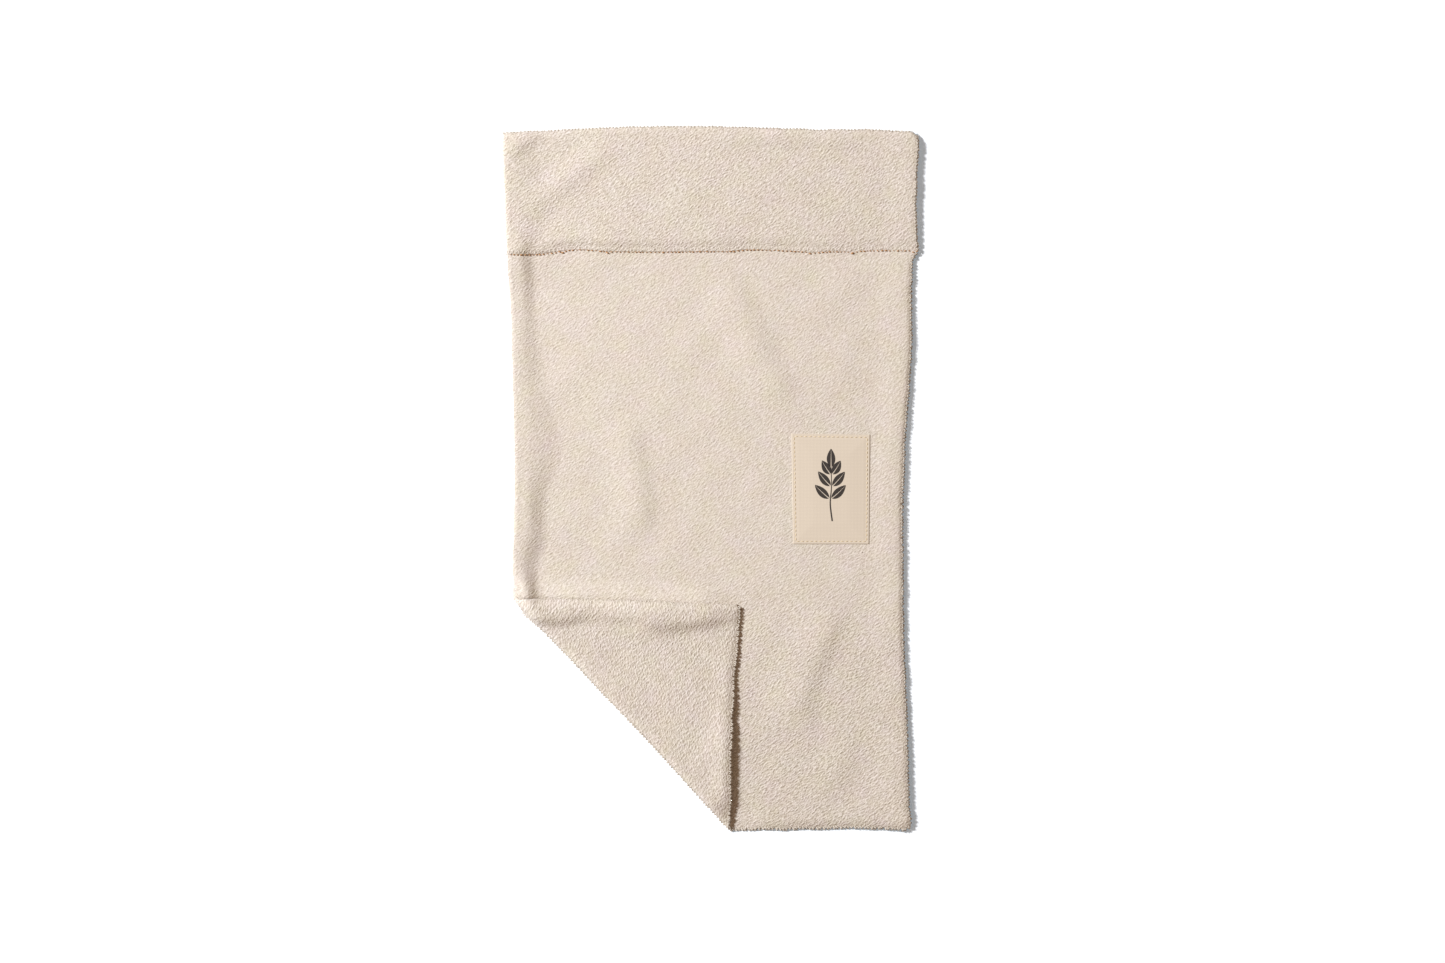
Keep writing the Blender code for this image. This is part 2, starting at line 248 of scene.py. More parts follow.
# The front rises to meet the turned corner's upper edge: (flat y of that edge, height), how far up from it
# and under it, and over which distances from that corner's seam this sets in
CREASE_FILL = ((-243, 3.0), (-150, 3.7), (-118, 3.7), (-104, 3.0), (-93, 4.0), (-86, 4.4))
CREASE_REACH = 14
CREASE_UNDER = 3
CREASE_STARTS = (-4, 24)

# Steps of the fine mesh, and the rough lengths that they divide
BODY_LENGTH = 400
CUFF_LENGTH = 84
FINE_STEP = 2.4
HIDDEN_STEP = 12
SIDE_TURN_STEPS = 6
SETTLE_ROUNDS = 4
HIDDEN_SCALE = 0.12

# Label. Its edge sinks in, its field crowns, and the folds under it fade out round it.
LABEL_CORNERS = ((55.6, -44.9), (108.1, -44.9), (108.8, 30.6), (54.4, 31.4))
LABEL_WIDTH, LABEL_LENGTH = (math.dist(*LABEL_CORNERS[i : i + 2]) for i in (0, 1))
LABEL_THICK = 0.24
LABEL_CLEAR = 0.05
LABEL_SINKS = 0.02
LABEL_EDGE = 3.5
LABEL_CROWN = 0.35
LABEL_CROWN_REACH = 16
LABEL_FLAT = 12
LABEL_STEP = 0.9
STITCH_INSET = 1.9
STITCH_PITCH = 3.0
STITCH_LENGTH = 2.3
STITCH_THREAD = 0.5
STITCH_DENT = 0.15
STITCH_DENT_REACH = 2.0

# Overlocked mouth: wraps of pale thread over its edge, and between them knots of tan thread on the body, a
# few of them big and lower. The knots' dark tan is partly thread colour and partly painted shade for the
# shaded gaps between the wraps.
WRAP_PITCH = (1.9, 3.3)
WRAP_THREAD = 0.4
WRAP_SINKS = 0.14
WRAP_DEPTH = 2.2
WRAP_TURN = 0.3
KNOT_LENGTH = 1.35
KNOT_THREAD = 0.8
KNOT_LIFT = 0.35
KNOT_TURN = 0.5
KNOT_SIZES = (0.6, 1.15)
KNOT_DROP = 0.35
BIG_KNOT_SIZE = 1.5
BIG_KNOT_DROP = 0.7
BIG_KNOTS = (-103.3, -72.2, 68.8, 96.4, 138)

# Yarn loops that stand out round the edges, in rows at these angles, with other ones on the pinched right
# side of the cuff. On the bend the rows are at shares of its length.
LOOP_PITCH = 2.35
LOOP_SPAN = 1.3
LOOP_RISE = 1.2
LOOP_YARN = 0.75
LOOP_ANGLES = (-45, 0, 35, 62)
CUFF_LOOP_ANGLES = (20, 50, 72)
BEND_LOOP_SHARES = (0.35, 0.5, 0.62)
LOOP_FOOT = math.radians(100)
LOOP_TURN = 0.3
LOOP_SIZES = {"right": 1.0, "bottom": 1.15, "top": 0.6, "bend": 0.8}

# Leaf sprig printed on the label: its stem as (height, place across), and its leaves as (height on the
# stem, length, angle from upright)
STEM = ((-24, 0.8), (-12, -0.5), (0, 0.4), (13, 0.1))
STEM_WIDE = 0.9
LEAVES = ((-9, 13.5, 52), (-9, 13.5, -52), (-0.5, 13, 46), (-0.5, 13, -46), (7.5, 11, 38), (7.5, 11, -38),
          (12, 13, 0))
LEAF_WIDE = 5.8
LEAF_BOW = 1.3
MIDRIB_WIDE = 0.5
PRINT_UP = 2
PRINT_CLEAR = 0.05

# Terry loops: rows of short slanting strokes. Their waves are in cycles per millimetre, with their strength
# on the front and on the back. The loft is the share of the relief and of the painted shade between the
# loops, with more on the cuff and low on the bag. A few cells of the cloth hold a dark fleck.
STROKE_SLANT = math.radians(35)
STROKE_LENGTH = 2.6
STROKE_WIDTH = 1.05
LOOP_WAVES = ((0.181, -0.256, 0.3, 0.5), (0.392, -0.256, 0.3, 0.2), (0.181, -0.528, 0.3, 0.2),
              (-0.181, -0.528, 0.0, 0.5))
FRONT_LOFT = 1.2
BACK_LOFT = 1.5
CUFF_LOFT = 0.45
LOW_LOFT = 0.6
LOW_LOFT_FROM = (-60, -130)
FLECK_SPACING = 24
FLECK_SIZE = 0.35

# Studio: the camera looks straight down
VIEW_MIDDLE = (6.9, -1.7)
VIEW_HEIGHT = 2774
LENS = 100
SENSOR = 36
KEY_FROM = (-0.66, 0.30, 0.70)
KEY_DISTANCE = 3.1
KEY_SIZE = 0.62
KEY_POWER = 145.5
SKY = 0.32
# Painted light: the floor glows faintly blue though it is no lamp, which lifts and cools its shadows
FLOOR_PAINTED_GLOW = 0.185


def smoothstep(t):
    t = np.clip(t, 0, 1)
    return t * t * (3 - 2 * t)


def ramp(value, start, end):
    """Goes softly from 0 at one value to 1 at another, which may be the smaller one."""
    return smoothstep((value - start) / (end - start))


def blend(start, end, share):
    return start + (end - start) * share


def bell(t):
    return (1 - np.clip(t * t, 0, 1)) ** 2


def rounded(distance, reach):
    """Rises from 0 at an edge as a quarter round does, and is 1 past its reach."""
    t = np.clip(distance / reach, 0, 1)
    return np.sqrt(t * (2 - t))


def curve(table, at):
    """Reads a smooth curve through a table's points, level beyond its ends."""
    knots, values = np.array(table, float).T
    slopes = np.gradient(values, knots)
    at = np.clip(at, knots[0], knots[-1])
    i = np.clip(np.searchsorted(knots, at, side="right") - 1, 0, len(knots) - 2)
    width = knots[i + 1] - knots[i]
    t = (at - knots[i]) / width
    level = blend(values[i], values[i + 1], smoothstep(t))
    return level + width * t * (1 - t) * (slopes[i] * (1 - t) - slopes[i + 1] * t)


def make_ripples(count, shortest, longest, across):
    """Small waves of mixed lengths, as (wave number in x, in y, phase), for what no hand makes even."""
    lengths = RNG.uniform(shortest, longest, count)
    angles = RNG.uniform(0, math.tau, count) if across else np.full(count, math.pi / 2)
    numbers = math.tau / lengths
    return numbers * np.cos(angles), numbers * np.sin(angles), RNG.uniform(0, math.tau, count)


def rippled(ripples, x, y):
    kx, ky, phase = ripples
    x, y = np.asarray(x, float)[..., None], np.asarray(y, float)[..., None]
    return np.sin(x * kx + y * ky + phase).sum(-1) / math.sqrt(len(phase) / 2)


EDGE_RIPPLES = [make_ripples(7, 5, 34, False) for _ in range(4)]
CLOTH_RIPPLES = make_ripples(12, 22, 60, True)
CLOTH_RIPPLE = 0.12


def in_cuff(y):
    """Goes from 0 on the body to 1 on the cuff, whose outline is wider."""
    return ramp(y, CUFF_EDGE - CUFF_SPREAD, CUFF_EDGE)


def wobble(edge, at):
    return EDGE_WOBBLE * rippled(EDGE_RIPPLES[edge], 0, at)


def side_ends(y):
    """Where the straight part of the plies ends at a height, on the left and on the right."""
    left_cuff = curve(LEFT_CUFF, y) + CUFF_OUT * LEFT_PINCH
    right_cuff = curve(RIGHT_CUFF, y) - CUFF_OUT * RIGHT_CUFF_PINCH
    left = blend(curve(LEFT_SIDE, y) + BODY_OUT * LEFT_PINCH, left_cuff, in_cuff(y))
    right = blend(curve(RIGHT_SIDE, y) - BODY_OUT, right_cuff, in_cuff(y))
    return left + wobble(0, y), right + wobble(1, y)


def right_pinch(y):
    """How far the turn of the right side stands out at a height, against a round one."""
    return blend(1, RIGHT_CUFF_PINCH, in_cuff(y))


def corner_cut(inset, radius):
    """How far a rounded corner has pulled the edge in, at a distance from the side."""
    reach = np.clip(radius - inset, 0, radius)
    return radius - np.sqrt(radius**2 - reach**2)


def bottom_y(x):
    corners = corner_cut(x - LEFT_SIDE[0][1], BOTTOM_LEFT_CORNER)
    corners += corner_cut(RIGHT_SIDE[0][1] - x, BOTTOM_RIGHT_CORNER)
    return curve(BOTTOM, x) + corners + wobble(2, x)


def top_y(x):
    corners = corner_cut(x - LEFT_CUFF[-1][1], TOP_LEFT_CORNER)
    corners += corner_cut(RIGHT_CUFF[-1][1] - x, TOP_RIGHT_CORNER)
    return curve(TOP, x) - corners + wobble(3, x)


def even_shares(length, step):
    return np.linspace(0, 1, round(length / step) + 1)


def join_runs(*runs):
    """Joins runs of places, each given by its columns as arrays or single values, column by column."""
    filled = (np.broadcast_arrays(*map(np.atleast_1d, run)) for run in runs)
    return [np.concatenate(column) for column in zip(*filled)]


def profile_rows():
    """Goes once round the cloth in a section. Its columns are the distance from the middle plane, whether it
    is on the cuff, the share of the body or cuff, the offset in y, and whether it is hidden."""
    body = even_shares(BODY_LENGTH, HIDDEN_STEP)[::-1]
    cuff = even_shares(CUFF_LENGTH, HIDDEN_STEP)[1:]
    edge = PLY / 2
    inner = PLY_GAP / 2
    nose = np.radians(np.arange(0, 90, 22.5))
    rim = np.radians(np.arange(180, 361, 45))
    turn = np.radians(np.arange(22.5, 180, 22.5))
    return join_runs(
        (BODY_OUT * np.sin(nose), False, 0, -BODY_OUT * np.cos(nose), False),
        (BODY_OUT, False, even_shares(BODY_LENGTH, FINE_STEP), 0, False),
        (BODY_OUT, True, cuff, 0, True),
        (TURN_MIDDLE, True, 1, inner, True),
        (CUFF_IN, True, cuff[::-1], 0, True),
        (CUFF_IN + edge + edge * np.cos(rim), True, 0, edge + edge * np.sin(rim), False),
        (CUFF_OUT, True, even_shares(CUFF_LENGTH, FINE_STEP)[1:], 0, False),
        (TURN_MIDDLE + TURN_OUT * np.cos(turn), True, 1, TURN_OUT * np.sin(turn), False),
        (inner, True, cuff[::-1], 0, True),
        (inner, False, body, 0, True),
        (0, False, 0, -inner, True))


def ring_columns():
    """Goes once round the flattened pouch. Its columns are the share of the width, the angle of the turn,
    and front or back."""
    across = even_shares(RIGHT_CUFF[-1][1] - LEFT_CUFF[-1][1], FINE_STEP)
    turn = math.pi * np.arange(1, SIDE_TURN_STEPS) / SIDE_TURN_STEPS
    return join_runs((across, 0, 1), (1, turn, np.cos(turn)), (across[::-1], 0, -1),
                     (0, -turn, -np.cos(turn)), (0, 0, 1))


def flat_pouch(rows, columns):
    """Places every crossing of a profile row with a ring column, as an array of points. The width depends on
    the height and the height on the place across, so both settle in a few rounds."""
    offset, cuff, share, shift, _ = (column[:, None] for column in rows)
    width, turn, side = columns
    left, right = side_ends(np.zeros(share.shape))
    for _ in range(SETTLE_ROUNDS):
        x = blend(left, right, width)
        low = np.where(cuff, curve(MOUTH, x), bottom_y(x) + BODY_OUT)
        high = np.where(cuff, top_y(x) - TURN_OUT, curve(MOUTH, x))
        y = blend(low, high, share) + shift
        left, right = side_ends(y)
    bulge = np.where(turn < 0, LEFT_PINCH, right_pinch(y)) * np.sin(turn)
    return np.stack([x + offset * bulge, y, offset * side], axis=-1)


def from_fold(x, y):
    """How far a flat point is out past the fold's line, and how far along that line."""
    x, y = x - FOLD_POINT[0], y - FOLD_POINT[1]
    return x * FOLD_OUT[0] + y * FOLD_OUT[1], x * FOLD_ALONG[0] + y * FOLD_ALONG[1]


def by_fold(out, along):
    """The flat point that is this far out past the fold's line and this far along it."""
    return tuple(FOLD_POINT[i] + out * FOLD_OUT[i] + along * FOLD_ALONG[i] for i in (0, 1))


def beyond_fold(x, y):
    """Distance of a flat point past the line where the corner starts to bend."""
    out, along = from_fold(x, y)
    bulge = BEND_BULGE * bell((x - curve(LEFT_SIDE, y) - BULGE_AT[0]) / BULGE_AT[1])
    bulge *= ramp(out, BEND_LENGTH + BULGE_FADES, BEND_LENGTH)
    return out + BEND_AXIS - bulge + curve(FOLD_SWAY, along)


def fold_rise(x, y, path, height, flank, slope):
    """A fold that climbs slowly up to its path and falls over a short flank on the left of it."""
    steps = np.diff(np.array(path, float), axis=0)
    lengths = np.hypot(*steps.T)
    nearest = np.full(np.shape(x), np.inf)
    share, off = np.zeros(np.shape(x)), np.zeros(np.shape(x))
    for (x1, y1), (dx, dy), length, start in zip(path, steps, lengths, np.cumsum(lengths) - lengths):
        along = np.clip(((x - x1) * dx + (y - y1) * dy) / length**2, 0, 1)
        away = np.hypot(x - x1 - along * dx, y - y1 - along * dy)
        side = np.where((y - y1) * dx - (x - x1) * dy > 0, 1, -1)
        closer = away < nearest
        nearest = np.where(closer, away, nearest)
        share = np.where(closer, (start + along * length) / lengths.sum(), share)
        off = np.where(closer, away * side, off)
    ends = smoothstep(np.minimum(share, 1 - share) / FOLD_ENDS)
    return height * ends * ramp(off, -flank / 2 - slope, -flank / 2) * ramp(off, flank / 2, -flank / 2)


def from_sides(x, y):
    """How far a point of the flat pouch is from its outer left and right edge."""
    left, right = side_ends(y)
    outside = blend(BODY_OUT, CUFF_OUT, in_cuff(y))
    return x - left + outside * LEFT_PINCH, right + outside * right_pinch(y) - x


def over_front(x, y):
    """The flat point that comes to lie over a point of the front when the corner is turned."""
    moved = BEND_LENGTH - 2 * BEND_AXIS - 2 * from_fold(x, y)[0]
    return x + moved * FOLD_OUT[0], y + moved * FOLD_OUT[1]


def side_roll(table, y, from_left):
    """Height of a roll along the left side: (y, height, where its flank starts, where it ends)."""
    table = np.array(table)
    height, starts, ends = (curve(table[:, [0, column]], y) for column in (1, 2, 3))
    return height * ramp(from_left, ends, starts)


def crease_fill(x, y):
    """Rise of the soft front along the turned corner's upper edge, which sinks into it."""
    flap_x, flap_y = over_front(x, y)
    outside = -from_sides(flap_x, flap_y)[0]
    beside = ramp(outside, -CREASE_UNDER, 0) * ramp(outside, CREASE_REACH, 0)
    beside *= ramp(flap_y - bottom_y(flap_x), *CREASE_STARTS)
    return curve(CREASE_FILL, flap_y) * beside * ramp(-beyond_fold(x, y), -CREASE_UNDER, CREASE_UNDER)


def front_swell(x, y):
    """How far the front ply stands off the back ply, none at the bottom seam and at the bend."""
    from_left, from_right = from_sides(x, y)
    before_bend = -beyond_fold(x, y)
    fade = ramp(before_bend, -SHELF_ENDS, 0) * blend(SHELF_AT_BEND, 1, ramp(before_bend, 0, SHELF_LOWERS))
    pressed = SHELF_PRESS * ramp(from_sides(*over_front(x, y))[0], *SHELF_PRESSED)
    shelf = side_roll(LEFT_SHELF, y, from_left) * fade * (1 - pressed)
    swell = FRONT_SWELL + curve(RIGHT_RIDGE, y) * ramp(from_right, RIDGE_FOOT, RIDGE_CREST)
    folds = sum(fold_rise(x, y, *fold) for fold in FOLDS) + CLOTH_RIPPLE * rippled(CLOTH_RIPPLES, x, y)
    (_, low), _, (right, high), (left, _) = LABEL_CORNERS
    off_label = np.max([left - x, x - right, low - y, y - high], axis=0)
    swell += folds * ramp(off_label, 0, LABEL_FLAT)
    seams = rounded(y - bottom_y(x), SEAM_REACH) * rounded(top_y(x) - y + TURN_OUT, TURN_REACH)
    right_round = blend(RIGHT_ROUND, RIGHT_CUFF_ROUND, in_cuff(y))
    sides = rounded(from_left, LEFT_ROUND) * rounded(from_right, right_round)
    return (swell * ramp(before_bend, 0, BEND_REACH) + shelf) * sides * seams


def cuff_swell(x, y, mouth):
    """How far the cuff's outer ply stands off what it lies on: its hem droops, and its folds rise."""
    above = y - mouth
    swell = CUFF_SWELL - ramp(above, HEM_FLAT + HEM_DROPS, HEM_FLAT) * curve(CUFF_DROOP, x)
    swell += HEM_RIM * ramp(above, HEM_FLAT, HEM_RIM_WIDE)
    swell += sum(fold_rise(x, y, *fold) for fold in CUFF_FOLDS) * ramp(above, 0, CUFF_FOLDS_START)
    for depths, wide in ((HEM_SINKS, HEM_SINKS_WIDE), (HEM_TUCKS, HEM_TUCKS_WIDE)):
        swell -= curve(depths, x) * ramp(above, wide, 0)
    return swell * rounded(top_y(x) - y, TURN_REACH)


def flap_swell(x, y):
    """How far the back ply, which lies on top in the turned corner, stands off the other."""
    from_left = from_sides(x, y)[0]
    starts, ends, height = FLAP_TAIL
    near, far, share = FLAP_TAIL_FADES
    tail = height * ramp(from_left, ends, starts) * (1 - share * ramp(-y, near, far))
    swell = side_roll(FLAP_ROLL, y, from_left) + tail + CLOTH_RIPPLE * (1 + rippled(CLOTH_RIPPLES, x, y))
    reach = blend(*FLAP_SEAM_REACH, ramp(x, *FLAP_SEAM_ALONG))
    seams = rounded(from_left, FLAP_ROUND) * rounded(y - bottom_y(x), reach)
    return swell * seams * ramp(beyond_fold(x, y) / BEND_LENGTH, FLAP_PARTS, 1)


def corner_lift(x, y):
    """How far the whole bag is off the floor where its lower right corner curls up."""
    return CORNER_LIFT * ramp(RIGHT_SIDE[0][1] - x, CORNER_WIDE, 0) * ramp(y, *CORNER_RISES)


def lay_down(flat):
    """Sets flat points on the floor, swells the front and turns the corner over it."""
    x, y, z = np.moveaxis(flat, -1, 0)
    mouth = curve(MOUTH, x)
    cuff = ramp(y, mouth - CUFF_REACH, mouth)
    above_seam = y - bottom_y(x)
    inset = x - side_ends(y)[0]
    front = ramp(z, -PLY_GAP / 2, PLY_GAP / 2)
    thin = SEAM_THIN * ramp(above_seam, SEAM_WIDE, 0) * ramp(x, *SEAM_THINS_ALONG)
    height = (z + blend(BODY_OUT, CUFF_OUT, cuff)) * (1 - thin)
    height += ramp(z, BODY_OUT, CUFF_IN) * cuff_swell(x, y, mouth)
    height += front * (front_swell(x, y) + crease_fill(x, y))
    height *= 1 - CUFF_PRESS * ramp(from_sides(x, y)[1], CUFF_PRESS_WIDE, 0) * cuff
    height += corner_lift(x, y)

    past = beyond_fold(x, y)
    angle = math.pi * np.clip(past / BEND_LENGTH, 0, 1)
    flat_past = np.maximum(past - BEND_LENGTH, 0)
    radius = BEND_AXIS - height
    moved = radius * np.sin(angle) - flat_past - np.maximum(past, 0)
    laid_x, laid_y = x + moved * FOLD_OUT[0], y + moved * FOLD_OUT[1]

    sag = blend(*FLAP_SAGS, ramp(x, *FLAP_SAGS_ALONG))
    inner = sag * ramp(inset, *SAG_OFF_SIDE) * ramp(above_seam, *SAG_OFF_SEAM)
    at_side = FLAP_SIDE_SETTLES * ramp(inset, *FLAP_SIDE)
    settled = ramp(flat_past, 0, FLAP_SETTLES)
    settled += (1 - settled) * inner * ramp(flat_past, *FLAP_SAG)
    settled += (1 - settled) * at_side * ramp(flat_past, 0, FLAP_SIDE_SOON)
    drop = (2 * BEND_INSIDE - FLAP_CLEAR) * settled + BODY_STACK * thin * ramp(flat_past, 0, FLAP_THIN_SOON)
    seam_lift = curve(FLAP_SEAM_LIFT, x) * ramp(above_seam, FLAP_SEAM_WIDE, 0)
    drop -= seam_lift * ramp(flat_past, 0, FLAP_SEAM_SOON)
    folds = (1 - front) * sum(fold_rise(laid_x, laid_y, *fold) for fold in FLAP_FOLDS)
    over = np.where(flat_past > 0, front_swell(laid_x, laid_y) + folds, 0)
    height = BEND_AXIS - radius * np.cos(angle) - drop + (1 - front) * flap_swell(x, y) + over
    height *= 1 - TIP_PRESS * bell(np.hypot(laid_x - TIP[0], laid_y - TIP[1]) / TIP_REACH)
    return np.stack([laid_x, laid_y, height], axis=-1)


def laid_frame(flat, side):
    """Where a flat point comes to lie, with the directions there: right, up the bag and out of the cloth.
    The side is 1 on the front's outside and -1 on the back's."""
    steps = ((0, 0, 0), (0.2, 0, 0), (0, 0.2, 0))
    place, right, up = (Vector(spot) for spot in lay_down(np.add(flat, steps)))
    right = (right - place).normalized()
    out = side * right.cross(up - place).normalized()
    return place, right, side * out.cross(right), out


def srgb(code):
    """Turns an sRGB hex value into linear colour."""
    values = [int(code[i : i + 2], 16) / 255 for i in (1, 3, 5)]
    return (*[v / 12.92 if v <= 0.04045 else ((v + 0.055) / 1.055) ** 2.4 for v in values], 1)


def set_inputs(node, inputs):
    """Fills a node's inputs with plain values, or links them to a socket or a node's first output in use."""
    for key, value in inputs.items():
        if isinstance(value, bpy.types.Node):
            value = next(socket for socket in value.outputs if socket.enabled)
        if isinstance(value, bpy.types.NodeSocket):
            node.id_data.links.new(value, node.inputs[key])
        else:
            node.inputs[key].default_value = value


def add_node(tree, kind, inputs=None, **settings):
    """Adds a shader node with its settings, and fills its inputs."""
    node = tree.nodes.new("ShaderNode" + kind)
    for name, value in settings.items():
        setattr(node, name, value)
    set_inputs(node, inputs or {})
    return node


def new_material(name, values):
    """A material, its Principled shader with these values, and add_node for its tree."""
    material = bpy.data.materials.new(name)
    material.use_nodes = True
    shader = material.node_tree.nodes["Principled BSDF"]
    set_inputs(shader, values)
    return material, shader, partial(add_node, material.node_tree)


def flat_millimetres(add):
    """The place on the flat cloth in millimetres, from its UV map, whose unit is 100 mm."""
    uv = add("UVMap", uv_map="cloth")
    return add("VectorMath", {0: uv, "Scale": 100}, operation="SCALE")


def french_terry():
    """Undyed cotton french terry: slanting rows of small yarn loops, with painted shade that makes it darker
    between the loops, and matt.
    """
    material, shader, add = new_material("french_terry", {
        "Roughness": 0.95, "Sheen Weight": 0.1, "Sheen Roughness": 0.6, "Specular IOR Level": 0.15})
    place = flat_millimetres(add)
    back = add("Attribute", attribute_name="back_ply").outputs["Fac"]

    # Rows of loops that wander, as crossing waves
    loops = 0.0
    for number, (kx, ky, on_front, on_back) in enumerate(LOOP_WAVES):
        phase = add("VectorMath", {0: place, 1: (kx, ky, 0)}, operation="DOT_PRODUCT")
        spot = add("VectorMath", {0: place, 1: (0, 0, 17 * number)}, operation="ADD")
        wander = add("TexNoise", {"Vector": spot, "Scale": 0.22, "Detail": 2, "Roughness": 0.6})
        turns = add("Math", {0: wander, 1: 2.6, 2: phase}, operation="MULTIPLY_ADD")
        angle = add("Math", {0: turns, 1: math.tau}, operation="MULTIPLY")
        wave = add("Math", {0: angle}, operation="SINE")
        share = add("Math", {0: back, 1: on_back - on_front, 2: on_front}, operation="MULTIPLY_ADD")
        loops = add("Math", {0: wave, 1: share, 2: loops}, operation="MULTIPLY_ADD")

    # Slanting strokes and single yarns on them, about a middle height of 0
    slant = add("Mapping", {"Vector": place, "Rotation": (0, 0, -STROKE_SLANT)}, vector_type="POINT")
    slim = add("VectorMath", {0: slant, 1: (1 / STROKE_LENGTH, 1 / STROKE_WIDTH, 1)}, operation="MULTIPLY")
    stroke = add("TexNoise", {"Vector": slim, "Scale": 1.0, "Detail": 1})
    yarn = add("TexNoise", {"Vector": place, "Scale": 0.95, "Detail": 2, "Roughness": 0.7})
    rough = add("Math", {0: stroke, 1: 4.2, 2: loops}, operation="MULTIPLY_ADD")
    height = add("Math", {0: yarn, 1: 3.4, 2: rough}, operation="MULTIPLY_ADD")
    middle = add("Math", {0: height, 1: 3.8}, operation="SUBTRACT")
    loft = add("Attribute", attribute_name="loft").outputs["Fac"]
    relief = add("Math", {0: middle, 1: loft}, operation="MULTIPLY")

    # Cream, with painted shade that makes it greyer between the loops, and with soft blotches and a few
    # flecks of husk
    depth = add("MapRange", {0: relief, 1: -2.2, 2: 2.2, 3: 0.0, 4: 1.0})
    # painted shade: the tone goes from grey in the low parts of the relief to light cream on its crests
    tone = add("Mix", {0: depth, 6: srgb("#B4ADA4"), 7: srgb("#E1DEDC")}, data_type="RGBA")
    blotch = add("TexNoise", {"Vector": place, "Scale": 0.06, "Detail": 4, "Roughness": 0.62})
    tint = add("Mix", {0: blotch, 6: srgb("#FFF5DF"), 7: srgb("#FFFCFF")}, data_type="RGBA")
    cream = add("Mix", {0: 1.0, 6: tone, 7: tint}, data_type="RGBA", blend_type="MULTIPLY")
    mottle = {0: 0.028, 6: cream, 7: blotch.outputs["Color"]}
    colour = add("Mix", mottle, data_type="RGBA", blend_type="LINEAR_LIGHT")
    cells = add("TexVoronoi", {"Vector": place, "Scale": 1 / FLECK_SPACING}, feature="F1")
    chosen = add("Math", {0: cells.outputs["Color"], 1: 0.62}, operation="GREATER_THAN")
    reach = FLECK_SIZE / FLECK_SPACING
    close = add("MapRange", {0: cells.outputs["Distance"], 1: reach, 2: 1.6 * reach, 3: 0.75, 4: 0.0})
    fleck = add("Math", {0: chosen, 1: close}, operation="MULTIPLY")
    flecked = add("Mix", {0: fleck, 6: colour, 7: srgb("#6E5A48")}, data_type="RGBA")
    bump = add("Bump", {"Strength": 1.0, "Distance": 0.075 * MM, "Height": relief})
    set_inputs(shader, {"Base Color": flecked, "Normal": bump})
    return material


def label_cotton():
    """Plain woven cotton, warmer than the terry, with a fine even weave that is drawn a little coarse."""
    material, shader, add = new_material("label_cotton", {"Roughness": 0.9, "Specular IOR Level": 0.2})
    waves = {"Vector": flat_millimetres(add), "Scale": 0.32, "Distortion": 1.2, "Detail": 2,
             "Detail Scale": 1.5}
    warp, weft = (add("TexWave", waves, bands_direction=way).outputs["Fac"] for way in ("X", "Y"))
    weave = add("Math", {0: warp, 1: weft}, operation="MULTIPLY")
    tone = add("Mix", {0: weave, 6: srgb("#C8BCAC"), 7: srgb("#DACDBB")}, data_type="RGBA")
    bump = add("Bump", {"Strength": 0.6, "Distance": 0.03 * MM, "Height": weave})
    set_inputs(shader, {"Base Color": tone, "Normal": bump})
    return material


def cotton_thread(name, colour):
    """Spun cotton thread, matt, with a slight change of tone along it."""
    material, shader, add = new_material(name, {"Roughness": 0.85})
    spin = add("TexNoise", {"Vector": add("TexCoord").outputs["Object"], "Scale": 900, "Detail": 1})
    value = add("MapRange", {0: spin, 3: 0.85, 4: 1.15})
    set_inputs(shader, {"Base Color": add("HueSaturation", {"Color": srgb(colour), "Value": value})})
    return material


def printed_ink():
    """Water-based ink printed on cotton: a flat brown black that the weave breaks up a little."""
    material, shader, add = new_material("printed_ink", {"Roughness": 0.75})
    wear = add("TexNoise", {"Vector": add("TexCoord").outputs["Object"], "Scale": 1400, "Detail": 2})
    tone = add("Mix", {0: wear, 6: srgb("#1F1916"), 7: srgb("#3B332D")}, data_type="RGBA")
    set_inputs(shader, {"Base Color": tone})
    return material


def white_acrylic():
    """White acrylic sheet: plain and pure white, with painted light: a faint cool glow, though it is no
    lamp, that keeps its shadows pale.
    """
    return new_material("white_acrylic_sheet_painted_glow", {
        "Base Color": srgb("#FFFEFF"), "Roughness": 1.0, "Specular IOR Level": 0.0,
        "Emission Color": srgb("#81D5FF"), "Emission Strength": FLOOR_PAINTED_GLOW})[0]


def mesh_of(bm, name):
    """Turns a finished bmesh into a mesh."""
    mesh = bpy.data.meshes.new(name)
    bm.to_mesh(mesh)
    bm.free()
    return mesh


def add_object(name, data):
    thing = bpy.data.objects.new(name, data)
    bpy.context.scene.collection.objects.link(thing)
    return thing


def add_piece(name, bm, material):
    """Makes a smooth object of a bmesh and lets it ride on the bag."""
    mesh = mesh_of(bm, name)
    mesh.shade_smooth()
    mesh.materials.append(material)
    piece = add_object(name, mesh)
    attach(piece, "root")
    return piece


def grid_of(points, maps):
    """A grid mesh whose crossings take the places in an array of points, with a UV map for each array."""
    rows, columns = points.shape[:2]
    bm = bmesh.new()
    bmesh.ops.create_grid(bm, x_segments=columns - 1, y_segments=rows - 1, size=1)
    layers = [(bm.loops.layers.uv.new(name), values) for name, values in maps.items()]
    spots = {}
    for vertex in bm.verts:
        column = round((vertex.co.x + 1) / 2 * (columns - 1))
        spots[vertex] = (round((vertex.co.y + 1) / 2 * (rows - 1)), column)
        vertex.co = points[spots[vertex]]
    for face in bm.faces:
        for loop in face.loops:
            for layer, values in layers:
                loop[layer].uv = values[spots[loop.vert]]
    return bm


def step_lengths(points, axis=0):
    return np.linalg.norm(np.diff(points, axis=axis), axis=-1)


def shares_along(lengths):
    """Running shares, from 0 to 1, of a list of lengths."""
    total = np.concatenate([[0], np.cumsum(lengths)])
    return total / total[-1]


